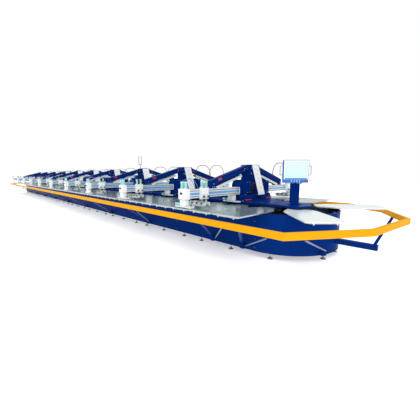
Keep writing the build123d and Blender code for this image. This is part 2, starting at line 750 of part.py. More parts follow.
with BuildPart() as pillar:
    block(PANEL_X, PANEL_Y, DECK_TOP, PILLAR_D, PILLAR_W, PILLAR_TOP, PANEL_TURN)
    with BuildSketch(Plane.XY.offset(PILLAR_TOP)):
        with Locations((PANEL_X, PANEL_Y)):
            Circle(NECK_R)
    extrude(amount=PILLAR_GAP - 0.5)
pillar.part.label = "control_pillar"
export_step(pillar.part, "parts/control_pillar.step")

with BuildPart() as control_box:
    with BuildSketch(panel_plane.offset(-BOX_D / 2)):
        with Locations((0, BOX_H / 2)):
            RectangleRounded(BOX_W, BOX_H, BOX_CORNER_R)
    extrude(amount=BOX_D)
    with BuildSketch(panel_plane.offset(BOX_D / 2)):
        with Locations((0, BOX_H / 2 + BAND_H / 2)):
            Rectangle(BOX_W - 2 * DISPLAY_MARGIN, BOX_H - BAND_H - DISPLAY_MARGIN)
    extrude(amount=-BEZEL_T, mode=Mode.SUBTRACT)
    with BuildSketch(panel_plane.offset(BOX_D / 2)):
        with Locations(BUTTON_AT):
            Circle(BUTTON_STEM_R + 1)
    extrude(amount=-BUTTON_STEM_L, mode=Mode.SUBTRACT)
control_box.part.label = "control_box"
export_step(control_box.part, "parts/control_box.step")

with BuildPart() as display:
    with BuildSketch(panel_plane.offset(BOX_D / 2 - BEZEL_T)):
        with Locations((0, BOX_H / 2 + BAND_H / 2)):
            Rectangle(BOX_W - 2 * DISPLAY_MARGIN - 2, BOX_H - BAND_H - DISPLAY_MARGIN - 2)
    extrude(amount=BEZEL_T - DISPLAY_SINK)
display.part.label = "control_display"
export_step(display.part, "parts/control_display.step")

HANDLE_H = 170
HANDLE_REACH = 55
HANDLE_R = 7
HANDLE_BEND = 25
HANDLE_MID = BOX_H / 2 + 20
with BuildPart() as handles:
    for way in (-1, 1):
        near_x, far_x = way * BOX_W / 2, way * (BOX_W / 2 + HANDLE_REACH)
        high, low = HANDLE_MID + HANDLE_H / 2, HANDLE_MID - HANDLE_H / 2
        with BuildLine(panel_plane):
            FilletPolyline((near_x, high), (far_x, high), (far_x, low), (near_x, low), radius=HANDLE_BEND)
        start = panel_plane.from_local_coords((near_x, high, 0))
        with BuildSketch(Plane(origin=start, z_dir=panel_plane.x_dir * way)):
            Circle(HANDLE_R)
        sweep()
handles.part.label = "control_handles"
export_step(handles.part, "parts/control_handles.step")

with BuildPart() as stop_button:
    with BuildSketch(panel_plane.offset(BOX_D / 2 + BUTTON_PROUD - BUTTON_STEM_L)):
        with Locations(BUTTON_AT):
            Circle(BUTTON_STEM_R)
    extrude(amount=BUTTON_STEM_L)
    with BuildSketch(panel_plane.offset(BOX_D / 2 + BUTTON_PROUD)):
        with Locations(BUTTON_AT):
            Circle(BUTTON_R)
    extrude(amount=BUTTON_T)
    fillet(stop_button.faces().sort_by(Axis((0, 0, 0), (1, -1, 0)))[-1].edges(), 3)
stop_button.part.label = "stop_button"
export_step(stop_button.part, "parts/stop_button.step")

# Hoses held at both ends, arching over the rear arms: one beside each tower, except at the
# operator's end, and one further out on every arm

HOSE_R = 8
HOSE_X = 72
HOSE_BEND = 290
TOWER_HOSE = [(360, HOUSING_TOP), (360, 1770), (1000, 1770), (1000, ARM_TOP)]
ARM_HOSE = [(1100, ARM_TOP), (1100, 1790), (1800, 1790), (1800, ARM_TOP)]
hose_routes = [(x + HOSE_X, TOWER_HOSE) for x in STATION_X[1:]] + [(x - HOSE_X, ARM_HOSE) for x in STATION_X]
hose_lengths = []
with BuildPart() as hoses:
    for x, corners in hose_routes:
        with BuildLine(Plane.YZ.offset(x)) as route:
            FilletPolyline(*corners, radius=HOSE_BEND)
        with BuildSketch(Plane(origin=(x, *corners[0]), z_dir=(0, 0, 1))):
            Circle(HOSE_R)
        sweep()
        hose_lengths.append(sum(edge.length for edge in route.edges()))
print("hose volume", round(hoses.part.volume), "section x length", round(sum(hose_lengths) * pi * HOSE_R**2))
print("hose lengths", sorted({round(length) for length in hose_lengths}), "bend radius", HOSE_BEND)
hoses.part.label = "air_hoses"
export_step(hoses.part, "parts/air_hoses.step")

# Forked air riser on the third tower
FORK_X = STATION_X[2]
FORK_Y = -130
FORK_SPREAD = 100
FORK_BAR_LOW = 1830
FORK_BAR_TOP = 1856
FORK_TOP = 2140
STEM_R = 14
PRONG_R = 12
with BuildPart() as fork:
    bar((FORK_X, FORK_Y, TOWER_TOP), (FORK_X, FORK_Y, FORK_BAR_LOW), STEM_R)
    block(FORK_X, FORK_Y, FORK_BAR_LOW, 2 * STEM_R, FORK_SPREAD + 2 * STEM_R, FORK_BAR_TOP)
    for y in (FORK_Y - FORK_SPREAD / 2, FORK_Y + FORK_SPREAD / 2):
        bar((FORK_X, y, FORK_BAR_TOP), (FORK_X, y, FORK_TOP), PRONG_R)
fork.part.label = "air_riser_fork"
export_step(fork.part, "parts/air_riser_fork.step")
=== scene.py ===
import math

import bpy
from mathutils import Matrix, Vector


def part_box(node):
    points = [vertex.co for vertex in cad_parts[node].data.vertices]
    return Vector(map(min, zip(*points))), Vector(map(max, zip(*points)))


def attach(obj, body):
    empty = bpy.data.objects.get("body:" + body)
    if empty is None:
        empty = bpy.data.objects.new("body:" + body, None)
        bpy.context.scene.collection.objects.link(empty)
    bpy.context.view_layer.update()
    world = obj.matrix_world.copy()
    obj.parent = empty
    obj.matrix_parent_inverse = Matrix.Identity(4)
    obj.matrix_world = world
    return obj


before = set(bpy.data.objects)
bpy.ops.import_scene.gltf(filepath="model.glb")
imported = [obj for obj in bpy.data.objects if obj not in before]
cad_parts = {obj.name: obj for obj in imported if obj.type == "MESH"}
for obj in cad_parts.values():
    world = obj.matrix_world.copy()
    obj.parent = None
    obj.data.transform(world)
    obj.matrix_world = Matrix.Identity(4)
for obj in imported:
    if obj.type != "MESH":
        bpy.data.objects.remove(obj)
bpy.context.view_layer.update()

# Driving places, in metres, read from the frame --------------------------------------------

HALF_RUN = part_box("track_rails")[1].x
STATIONS = 10
STATION_PITCH = 2.36
SIDES = (("front", -1), ("rear", 1))
ENDS = (("right", 1), ("left", -1))
ROW_PALLETS = 40
PALLET_PITCH = 2 * HALF_RUN / (ROW_PALLETS - 1)
ROW_X = [HALF_RUN - i * PALLET_PITCH for i in range(ROW_PALLETS)]
END_ANGLES = (-45, 36)
DECK_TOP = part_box("deck_plates")[1].z
PALLET_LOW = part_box("pallets_front")[0].z
PALLET_OUT = -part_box("pallets_front")[0].y
ARM_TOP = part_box("print_arms_front")[1].z
ARM_HALF_W = 0.09
ARM_ROOT, ARM_END = 0.49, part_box("print_arms_rear")[1].y
FIRST_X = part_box("print_arms_front")[1].x - ARM_HALF_W
STATION_X = [FIRST_X - i * STATION_PITCH for i in range(STATIONS)]
CAP_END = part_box("arm_caps_rear")[1].y
CAP_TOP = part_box("arm_caps_front")[1].z
HOUSING_HALF_X = 0.13
TOWER_FOOT, TOWER_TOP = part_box("towers")[0].z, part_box("towers")[1].z
CLAMP_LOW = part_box("screen_clamps_front")[0].z
OUTER_CLAMP, INNER_CLAMP = (ARM_END + CAP_END) / 2, 0.64
LIFT_X = 0.05  # half the spacing of an arm cap's two lift cylinders
TOOL_Y = 0.05  # half the spacing of a carriage's two tools
CARRIAGE_V = (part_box("carriages_rear")[0].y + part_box("carriages_rear")[1].y) / 2
CARRIAGE_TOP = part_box("carriages_front")[1].z
ROD_X = 0.118
CARRIAGE_HALF_T = 0.023
SKIRT_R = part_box("skirt_rear")[1].y
SKIRT_LOW, SKIRT_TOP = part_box("skirt_rear")[0].z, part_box("skirt_rear")[1].z


# Mesh building ------------------------------------------------------------------------------


class Shape:
    """Collects vertices and faces for one piece, in the row frame."""

    def __init__(self):
        self.verts, self.faces, self.smooth = [], [], []

    def add(self, verts, faces, smooth=False):
        start = len(self.verts)
        self.verts += [Vector(v) for v in verts]
        self.faces += [tuple(start + i for i in f) for f in faces]
        self.smooth += [smooth] * len(faces)

    def box(self, low, high):
        """An upright box between two corners."""
        (x0, y0, z0), (x1, y1, z1) = low, high
        verts = [(x, y, z) for z in (z0, z1) for x, y in ((x0, y0), (x1, y0), (x1, y1), (x0, y1))]
        faces = [(3, 2, 1, 0), (4, 5, 6, 7), (0, 1, 5, 4), (1, 2, 6, 5), (2, 3, 7, 6), (3, 0, 4, 7)]
        self.add(verts, faces)

    def at(self, centre, size):
        """An upright box by its centre and size."""
        c, h = Vector(centre), Vector(size) / 2
        self.box(c - h, c + h)

    def beam(self, start, end, width, depth, up=(0, 0, 1)):
        """A straight bar of rectangular section from start to end."""
        start, end = Vector(start), Vector(end)
        along = (end - start).normalized()
        across = along.cross(Vector(up)).normalized() * width / 2
        over = across.cross(along).normalized() * depth / 2
        section = [across * a + over * b for a, b in ((-1, -1), (1, -1), (1, 1), (-1, 1))]
        verts = [p + corner for p in (start, end) for corner in section]
        faces = [(3, 2, 1, 0), (4, 5, 6, 7), (0, 1, 5, 4), (1, 2, 6, 5), (2, 3, 7, 6), (3, 0, 4, 7)]
        self.add(verts, faces)

    def lathe(self, origin, axis, profile, sides=20):
        """A turned body: profile is a list of (distance along the axis, radius)."""
        axis = Vector(axis).normalized()
        side = axis.orthogonal().normalized()
        other = axis.cross(side)
        origin = Vector(origin)
        rings = []
        for height, radius in profile:
            ring = []
            for i in range(sides):
                turn = 2 * math.pi * i / sides
                out = side * math.cos(turn) + other * math.sin(turn)
                ring.append(origin + axis * height + out * radius)
            rings.append(ring)
        verts = [v for ring in rings for v in ring]
        walls = []
        for r in range(len(rings) - 1):
            for i in range(sides):
                j = (i + 1) % sides
                walls.append((r * sides + i, r * sides + j, (r + 1) * sides + j, (r + 1) * sides + i))
        self.add(verts, walls, smooth=True)
        last = (len(rings) - 1) * sides
        ends = [tuple(reversed(range(sides))), tuple(range(last, last + sides))]
        start = len(self.verts) - len(verts)
        self.faces += [tuple(start + i for i in f) for f in ends]
        self.smooth += [False, False]

    def rod(self, start, end, radius, sides=12):
        """A plain round bar with small chamfers at its ends."""
        start, end = Vector(start), Vector(end)
        length = (end - start).length
        edge = min(radius * 0.25, length * 0.2)
        profile = [(0, radius - edge), (edge, radius), (length - edge, radius), (length, radius - edge)]
        self.lathe(start, end - start, profile, sides)

    def tube(self, points, radius, sides=8):
        """A bent round tube through points."""
        points = [Vector(p) for p in points]
        rings, across = [], None
        for i, point in enumerate(points):
            before, after = points[max(i - 1, 0)], points[min(i + 1, len(points) - 1)]
            along = (after - before).normalized()
            if across is None:
                across = along.orthogonal().normalized()
            across = (across - along * across.dot(along)).normalized()
            other = along.cross(across)
            for k in range(sides):
                turn = 2 * math.pi * k / sides
                rings.append(point + (across * math.cos(turn) + other * math.sin(turn)) * radius)
        walls = []
        for r in range(len(points) - 1):
            for k in range(sides):
                n = (k + 1) % sides
                walls.append((r * sides + k, r * sides + n, (r + 1) * sides + n, (r + 1) * sides + k))
        self.add(rings, walls, smooth=True)
        start, last = len(self.verts) - len(rings), len(rings) - sides
        ends = [tuple(reversed(range(sides))), tuple(range(last, last + sides))]
        self.faces += [tuple(start + i for i in f) for f in ends]
        self.smooth += [False, False]

    def plate(self, outline, normal, thickness):
        """A flat plate: outline is a loop of points, thickened along normal."""
        outline = [Vector(p) for p in outline]
        shift = Vector(normal).normalized() * thickness
        count = len(outline)
        spokes = [p - outline[0] for p in outline]
        area = sum((spokes[i].cross(spokes[(i + 1) % count]) for i in range(count)), Vector())
        if area.dot(shift) < 0:
            outline.reverse()
        verts = outline + [p + shift for p in outline]
        faces = [tuple(reversed(range(count))), tuple(range(count, 2 * count))]
        faces += [(i, (i + 1) % count, count + (i + 1) % count, count + i) for i in range(count)]
        self.add(verts, faces)

    def screw(self, place, axis, radius=0.006):
        """A domed screw head standing on a face."""
        profile = [(0, radius), (radius * 0.4, radius * 0.92), (radius * 0.7, radius * 0.45)]
        self.lathe(place, axis, profile, 8)

    def hexagon(self, place, axis, radius, height):
        """A hexagon head or nut standing on a face."""
        profile = [(0, radius), (height * 0.85, radius), (height, radius * 0.85)]
        self.lathe(place, axis, profile, 6)
        self.smooth[-8:] = [False] * 8

    def copies(self, matrices):
        """This shape repeated at each matrix, its faces turned over where a matrix mirrors."""
        made = Shape()
        for matrix in matrices:
            flip = matrix.determinant() < 0
            start = len(made.verts)
            made.verts += [matrix @ v for v in self.verts]
            for f in self.faces:
                moved = tuple(start + i for i in f)
                made.faces.append(tuple(reversed(moved)) if flip else moved)
            made.smooth += self.smooth
        return made


def piece(name, shape, body, material, bevel=0.0, segments=2):
    """Makes a mesh object from a shape, with rounded edges, and lets it ride on a body."""
    mesh = bpy.data.meshes.new(name)
    mesh.from_pydata([tuple(v) for v in shape.verts], [], shape.faces)
    mesh.polygons.foreach_set("use_smooth", shape.smooth)
    mesh.update()
    obj = bpy.data.objects.new(name, mesh)
    bpy.context.scene.collection.objects.link(obj)
    mesh.materials.append(material)
    if bevel:
        rounding = obj.modifiers.new("Rounded edges", "BEVEL")
        rounding.width = bevel
        rounding.segments = segments
        rounding.limit_method = "ANGLE"
        rounding.angle_limit = math.radians(50)
        rounding.harden_normals = True
    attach(obj, body)
    return obj


def station_places(side):
    """One matrix per station: X from the tower, Y outwards from the centre line."""
    return [Matrix.Translation((x, 0, 0)) @ Matrix.Diagonal((1, side, 1, 1)) for x in STATION_X]


BOTH_SIDES = station_places(-1) + station_places(1)


# Materials ----------------------------------------------------------------------------------


class Nodes:
    """Small helper that adds and links shader nodes."""

    def __init__(self, name):
        self.material = bpy.data.materials.new(name)
        self.material.use_nodes = True
        self.tree = self.material.node_tree
        self.shader = self.tree.nodes["Principled BSDF"]
        self.place = self.tree.nodes.new("ShaderNodeTexCoord").outputs["Object"]

    def link(self, output, socket):
        self.tree.links.new(output, socket)

    def noise(self, scale, detail=4.0, rough=0.55, stretch=None):
        source = self.place
        if stretch:
            mapping = self.tree.nodes.new("ShaderNodeMapping")
            mapping.inputs["Scale"].default_value = stretch
            self.link(source, mapping.inputs["Vector"])
            source = mapping.outputs["Vector"]
        node = self.tree.nodes.new("ShaderNodeTexNoise")
        node.inputs["Scale"].default_value = scale
        node.inputs["Detail"].default_value = detail
        node.inputs["Roughness"].default_value = rough
        self.link(source, node.inputs["Vector"])
        return node.outputs["Fac"]

    def spread(self, value, low, high, to_low=0.0, to_high=1.0):
        node = self.tree.nodes.new("ShaderNodeMapRange")
        node.inputs["From Min"].default_value = low
        node.inputs["From Max"].default_value = high
        node.inputs["To Min"].default_value = to_low
        node.inputs["To Max"].default_value = to_high
        self.link(value, node.inputs["Value"])
        return node.outputs["Result"]

    def mix(self, factor, one, two):
        """Colour mix; one and two are colours or sockets."""
        node = self.tree.nodes.new("ShaderNodeMix")
        node.data_type = "RGBA"
        self.link(factor, node.inputs["Factor"])
        for socket, value in ((node.inputs["A"], one), (node.inputs["B"], two)):
            if isinstance(value, tuple):
                socket.default_value = (*value, 1)
            else:
                self.link(value, socket)
        return node.outputs["Result"]

    def edge_wear(self):
        """How sharply the surface turns, from the mesh's pointiness."""
        node = self.tree.nodes.new("ShaderNodeNewGeometry")
        return self.spread(node.outputs["Pointiness"], 0.52, 0.58)

    def height(self):
        """Height above the floor."""
        node = self.tree.nodes.new("ShaderNodeSeparateXYZ")
        self.link(self.place, node.inputs["Vector"])
        return node.outputs["Z"]

    def bump(self, value, strength, distance):
        node = self.tree.nodes.new("ShaderNodeBump")
        node.inputs["Strength"].default_value = strength
        node.inputs["Distance"].default_value = distance
        self.link(value, node.inputs["Height"])
        self.link(node.outputs["Normal"], self.shader.inputs["Normal"])

    def set(self, **values):
        names = {"metallic": "Metallic", "coat": "Coat Weight", "coat_rough": "Coat Roughness", "ior": "IOR"}
        names["specular"] = "Specular IOR Level"
        for key, value in values.items():
            self.shader.inputs[names[key]].default_value = value


def paint(name, colour, worn, rough=(0.18, 0.28), coat=0.0, specular=0.006, dust=0.0):
    """Powder coat: slow shade changes, fine specks and orange peel, rubbed edges and dust low down."""
    n = Nodes(name)
    slow = n.spread(n.noise(0.7, 3), 0.35, 0.65)
    deep = tuple(c * 0.88 for c in colour)
    shaded = n.mix(slow, deep, colour)
    speck = n.spread(n.noise(160, 2), 0.68, 0.74, 0, 0.12)
    shaded = n.mix(speck, shaded, worn)
    shaded = n.mix(n.spread(n.edge_wear(), 0, 1, 0, 0.4), shaded, worn)
    if dust:
        low = n.spread(n.height(), 0.1, 0.35, dust, 0.0)
        dusty = n.tree.nodes.new("ShaderNodeMath")
        dusty.operation = "MULTIPLY"
        n.link(low, dusty.inputs[0])
        n.link(n.noise(5, 6, 0.7), dusty.inputs[1])
        shaded = n.mix(dusty.outputs[0], shaded, (0.25, 0.26, 0.28))
    n.link(shaded, n.shader.inputs["Base Color"])
    n.link(n.spread(n.noise(14, 5), 0.3, 0.7, *rough), n.shader.inputs["Roughness"])
    n.set(coat=coat, coat_rough=0.1, specular=specular)
    n.bump(n.noise(420, 2), 0.05, 0.0004)
    return n.material


def brushed(name, light, dark, rough=(0.2, 0.4), stretch=(0.4, 14, 14), metallic=0.9, scale=30):
    """Metal with fine brushing along X and cloudy handling marks."""
    n = Nodes(name)
    lines = n.noise(scale, 6, 0.7, stretch)
    cloud = n.spread(n.noise(2.3, 5, 0.6), 0.35, 0.7)
    shaded = n.mix(n.spread(lines, 0.3, 0.7), dark, light)
    shaded = n.mix(n.spread(cloud, 0, 1, 0, 0.35), shaded, dark)
    n.link(shaded, n.shader.inputs["Base Color"])
    n.link(n.spread(lines, 0.25, 0.75, *rough), n.shader.inputs["Roughness"])
    n.set(metallic=metallic)
    n.bump(lines, 0.08, 0.0004)
    return n.material


def moulded(name, colour, rough=(0.25, 0.4), scale=260, coat=0.0):
    """Moulded plastic or rubber with a fine grain and faint scuffs."""
    n = Nodes(name)
    scuff = n.spread(n.noise(35, 6, 0.7), 0.58, 0.75, 0, 0.3)
    pale = tuple(min(1.0, c * 1.3 + 0.03) for c in colour)
    n.link(n.mix(scuff, colour, pale), n.shader.inputs["Base Color"])
    n.link(n.spread(n.noise(24, 4), 0.3, 0.7, *rough), n.shader.inputs["Roughness"])
    n.set(coat=coat)
    n.bump(n.noise(scale, 3), 0.2, 0.0005)
    return n.material


BLUE = paint("deep_blue_paint", (0.0002, 0.0165, 0.158), (0.003, 0.04, 0.22), dust=0.015)
BLUE_LIGHT = paint("mid_blue_paint", (0.018, 0.16, 0.58), (0.12, 0.3, 0.68))
DARK = paint("dark_paint", (0.008, 0.010, 0.018), (0.10, 0.10, 0.11), (0.35, 0.5))
WHITE = paint("white_paint", (0.97, 0.97, 0.97), (0.84, 0.85, 0.85), (0.25, 0.4), 0.3, 0.5)
PALE = paint("pale_grey_paint", (0.74, 0.80, 0.79), (0.6, 0.63, 0.62), (0.3, 0.45), 0.2, 0.5)
YELLOW = paint("safety_yellow", (0.86, 0.34, 0.0002), (0.90, 0.44, 0.02), (0.3, 0.42))
RED = moulded("red_plastic", (0.55, 0.012, 0.015), coat=0.3)
BLACK = moulded("black_plastic", (0.014, 0.014, 0.016), (0.3, 0.5))
RUBBER = moulded("foot_rubber", (0.03, 0.028, 0.026), (0.55, 0.75), 180)
BLADE = moulded("squeegee_rubber", (0.16, 0.36, 0.20), (0.35, 0.5))
PALLET = brushed("pallet_plate", (0.58, 0.67, 0.65), (0.38, 0.47, 0.45), (0.12, 0.26), (14, 0.5, 14), 0.7)
# The end pallets are the same plates as the row's. Their near-white, barely metallic colour is a painted
# reflection of the bright studio around them.
END_PALLET_PAINTED_REFLECTION = brushed(
    "end_pallet_painted_reflection", (0.90, 0.94, 0.91), (0.85, 0.89, 0.86), (0.2, 0.3), (14, 0.5, 14), 0.15
)
ARM = brushed("anodised_arm", (0.82, 0.87, 0.87), (0.66, 0.72, 0.73), (0.25, 0.4), (14, 0.4, 14), 0.3)
STEEL = brushed("ground_steel", (0.55, 0.56, 0.57), (0.34, 0.35, 0.36), (0.18, 0.35))
ZINC = brushed("zinc_steel", (0.62, 0.63, 0.64), (0.40, 0.41, 0.42), (0.2, 0.4), (6, 6, 6), 0.95, 60)
DULL = brushed("dull_brace_steel", (0.20, 0.25, 0.36), (0.11, 0.15, 0.24), (0.3, 0.45), (6, 6, 6), 0.7, 60)
STRIPE = moulded("light_blue_strip", (0.075, 0.33, 0.74), (0.18, 0.3), coat=0.4)


def clear_cyan():
    """Clear tinted barrels: a bright core with darker rims and a little gloss."""
    n = Nodes("clear_cyan_barrel")
    facing = n.tree.nodes.new("ShaderNodeLayerWeight")
    facing.inputs["Blend"].default_value = 0.35
    streak = n.spread(n.noise(16, 3, 0.5, (9, 9, 0.6)), 0.3, 0.7)
    core = n.mix(streak, (0.16, 0.78, 0.80), (0.34, 0.93, 0.95))
    n.link(core, n.shader.inputs["Base Color"])
    n.link(n.spread(facing.outputs["Facing"], 0, 1, 0.06, 0.2), n.shader.inputs["Roughness"])
    n.shader.inputs["Transmission Weight"].default_value = 0.15
    n.set(ior=1.35)
    n.bump(n.noise(60, 2), 0.05, 0.0005)
    return n.material


def screen_face():
    """The lit display: pale cyan with a soft vertical fade and a faint grid of plain fields."""
    n = Nodes("display_face")
    fade = n.spread(n.height(), 1.38, 1.72)
    base = n.mix(fade, (0.56, 0.84, 0.80), (0.64, 0.84, 0.87))
    brick = n.tree.nodes.new("ShaderNodeTexBrick")
    brick.offset = 0.0
    brick.inputs["Scale"].default_value = 1.0
    brick.inputs["Mortar Size"].default_value = 0.004
    brick.inputs["Brick Width"].default_value = 0.085
    brick.inputs["Row Height"].default_value = 0.062
    turn = n.tree.nodes.new("ShaderNodeMapping")
    turn.inputs["Rotation"].default_value = (math.radians(90), 0, math.radians(-45))
    n.link(n.place, turn.inputs["Vector"])
    n.link(turn.outputs["Vector"], brick.inputs["Vector"])
    brick.inputs["Color1"].default_value = (0.92, 0.92, 0.92, 1)
    brick.inputs["Color2"].default_value = (1, 1, 1, 1)
    brick.inputs["Mortar"].default_value = (0.78, 0.84, 0.86, 1)
    grid = n.tree.nodes.new("ShaderNodeMix")
    grid.data_type, grid.blend_type = "RGBA", "MULTIPLY"
    grid.inputs["Factor"].default_value = 0.5
    n.link(base, grid.inputs["A"])
    n.link(brick.outputs["Color"], grid.inputs["B"])
    n.link(grid.outputs["Result"], n.shader.inputs["Base Color"])
    n.link(grid.outputs["Result"], n.shader.inputs["Emission Color"])
    n.shader.inputs["Emission Strength"].default_value = 0.16
    n.shader.inputs["Roughness"].default_value = 0.12
    return n.material


def ribbed_hose():
    """Black air hose with fine ribs round it and a dull sheen."""
    n = Nodes("ribbed_hose")
    n.link(n.mix(n.noise(30, 4), (0.012, 0.012, 0.013), (0.05, 0.05, 0.052)), n.shader.inputs["Base Color"])
    ribs = n.tree.nodes.new("ShaderNodeTexWave")
    ribs.bands_direction = "Z"
    ribs.inputs["Scale"].default_value = 60
    n.link(n.place, ribs.inputs["Vector"])
    n.link(n.spread(n.noise(50, 3), 0.3, 0.7, 0.4, 0.6), n.shader.inputs["Roughness"])
    n.bump(ribs.outputs["Fac"], 0.4, 0.001)
    return n.material


CYAN = clear_cyan()
DISPLAY = screen_face()
HOSE = ribbed_hose()

NODE_MATERIALS = {
    BLUE: "skirt_front skirt_rear skirt_right_end skirt_left_end base_beams base_rings base_crossmembers "
    "track_posts deck_plates tower_bases towers truss_beams rail_shoes rail_struts control_pillar",
    BLUE_LIGHT: "control_box",
    DARK: "deck_columns trolleys_front trolleys_rear trolleys_right trolleys_left drive_wheel idler_wheel "
    "drive_gearbox drive_motor",
    WHITE: "tower_covers arm_caps_front arm_caps_rear carriages_front carriages_rear",
    PALE: "screen_clamps_front screen_clamps_rear squeegees_front squeegees_rear",
    YELLOW: "guard_rail_sides guard_rail_right guard_rail_left",
    ARM: "print_arms_front print_arms_rear",
    PALLET: "pallets_front pallets_rear",
    END_PALLET_PAINTED_REFLECTION: "pallets_right pallets_left",
    STEEL: "track_rails track_curves",
    ZINC: "foot_stems flood_bars_front flood_bars_rear control_handles air_riser_fork drive_pinion",
    DULL: "rail_braces",
    STRIPE: "arm_stripes",
    CYAN: "lift_cylinders stroke_cylinders_front stroke_cylinders_rear",
    DISPLAY: "control_display",
    RED: "stop_button",
    RUBBER: "foot_pads",
    HOSE: "air_hoses",
}
for material, names in NODE_MATERIALS.items():
    for node_name in names.split():
        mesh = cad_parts[node_name].data
        mesh.materials.clear()
        mesh.materials.append(material)


# Towers -------------------------------------------------------------------------------------

COVER_HALF_Y = 0.12
COVER_FOOT_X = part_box("tower_covers")[1].x - STATION_X[0]
COVER_FOOT_TOP, COVER_FOOT_LOW = 1.07, 1.04
BULGE_Y, BULGE_HALF_Y, BULGE_DEPTH = 0.36, 0.115, 0.13
BULGE_LOW, BULGE_TOP = 1.075, 1.345


def tower_cheeks():
    """Blue side cheeks that close the leaning covers, leaving only their front white."""
    shape = Shape()
    back, base_front, foot = HOUSING_HALF_X + 0.001, 0.252, COVER_FOOT_X - 0.008
    head, low, high = TOWER_TOP - 0.004, COVER_FOOT_LOW + 0.002, COVER_FOOT_TOP + 0.002
    profile = [(back, head), (back + 0.005, head), (foot, high), (foot, low)]
    profile += [(base_front, low), (base_front, TOWER_FOOT), (back, TOWER_FOOT)]
    for out in (-1, 1):
        outline = [(x, out * (COVER_HALF_Y + 0.0005), z) for x, z in profile]
        shape.plate(outline, (0, out, 0), 0.004)
    return shape


def bulge_point(side, angle):
    """A point on the half oval of a bulge, in plan, from the tower's middle."""
    x = HOUSING_HALF_X + 0.002 + BULGE_DEPTH * math.sin(angle)
    return x, side * BULGE_Y + BULGE_HALF_Y * math.cos(angle)


def tower_housing_details():
    """Rounded covers over the arm roots, access panels and screws on the tower housing."""
    bulge, plates, screws, valves = Shape(), Shape(), Shape(), Shape()
    for side in (-1, 1):
        points = [bulge_point(side, math.pi * i / 12) for i in range(13)]
        base = [(x, y, BULGE_LOW) for x, y in points]
        top = [(x, y, BULGE_TOP) for x, y in points]
        count = len(points)
        walls = [(count + i, count + i + 1, i + 1, i) for i in range(count - 1)]
        bulge.add(base + top, walls, smooth=True)
        start = len(bulge.verts) - 2 * count
        caps = [tuple(range(count)), tuple(reversed(range(count, 2 * count)))]
        caps.append((count - 1, 0, count, 2 * count - 1))
        bulge.faces += [tuple(start + i for i in f) for f in caps]
        bulge.smooth += [False] * 3
        for z in (BULGE_LOW + 0.025, BULGE_TOP - 0.025):
            for turn in (60, 90, 120):
                angle = math.radians(turn)
                out = (math.sin(angle), math.cos(angle), 0)
                screws.screw((*bulge_point(side, angle), z), out, 0.007)
        # Access panel on the back of the housing
        panel_y, panel_z, panel_w, panel_h = side * 0.32, 1.215, 0.28, 0.25
        plates.at((-HOUSING_HALF_X - 0.003, panel_y, panel_z), (0.006, panel_w, panel_h))
        for y in (panel_y - panel_w / 2 + 0.015, panel_y + panel_w / 2 - 0.015):
            for z in (panel_z - 0.11, panel_z + 0.11):
                screws.screw((-HOUSING_HALF_X - 0.006, y, z), (-1, 0, 0), 0.006)
        # Valve block with its plugs and fittings between the bulge and the cover
        valves.at((HOUSING_HALF_X + 0.035, side * 0.185, 1.19), (0.07, 0.085, 0.24))
        for k in range(4):
            z = 1.10 + 0.06 * k
            valves.at((HOUSING_HALF_X + 0.085, side * 0.185, z), (0.03, 0.07, 0.034))
            fitting = Vector((HOUSING_HALF_X + 0.1, side * 0.2, z))
            valves.rod(fitting, fitting + Vector((0.025, 0, 0)), 0.008)
        # Pivot boss and pin on both faces of the tower's neck
        for z, radius, height in ((1.50, 0.022, 0.018), (1.62, 0.016, 0.014)):
            for face in (1, -1):
                place = (face * HOUSING_HALF_X, side * 0.13, z)
                screws.hexagon(place, (face, 0, 0), radius, height)
    plates.at((-HOUSING_HALF_X - 0.003, 0, 1.53), (0.006, 0.22, 0.22))
    plates.at((0, 0, TOWER_TOP + 0.004), (0.24, 0.32, 0.008))
    for x in (-0.1, 0.1):
        for y in (-0.14, 0.14):
            screws.screw((x, y, TOWER_TOP + 0.008), (0, 0, 1), 0.007)
    return bulge, plates, screws, valves


def cover_details():
    """Screws down the leaning cover's edges and five thin vent strips down its middle."""
    screws, strips = Shape(), Shape()
    foot = Vector((COVER_FOOT_X, 0, COVER_FOOT_TOP))
    head = Vector((HOUSING_HALF_X + 0.008, 0, TOWER_TOP))
    along = (head - foot).normalized()
    out = Vector((along.z, 0, -along.x))
    for share in (0.06, 0.35, 0.65, 0.94):
        place = foot.lerp(head, share)
        for y in (-0.1, 0.1):
            screws.screw(place + Vector((0, y, 0)), out, 0.006)
    for share in (0.2, 0.36, 0.52, 0.68, 0.84):
        place = foot.lerp(head, share) + out * 0.0015
        strips.beam(place - along * 0.028, place + along * 0.028, 0.05, 0.003, up=out)
    return screws, strips


station_matrices = station_places(1)
bulge, plates, screws, valves = tower_housing_details()
piece("tower_cheeks", tower_cheeks().copies(station_matrices), "base", BLUE, 0.001)
piece("tower_bulges", bulge.copies(station_matrices), "base", BLUE, 0.006, 3)
piece("tower_access_panels", plates.copies(station_matrices), "base", BLUE, 0.002)
piece("tower_screws", screws.copies(station_matrices), "base", ZINC)
piece("tower_valves", valves.copies(station_matrices), "base", BLACK, 0.003)
cover_screws, cover_strips = cover_details()
piece("cover_screws", cover_screws.copies(station_matrices), "base", ZINC)
piece("cover_vents", cover_strips.copies(station_matrices), "base", PALE, 0.001)


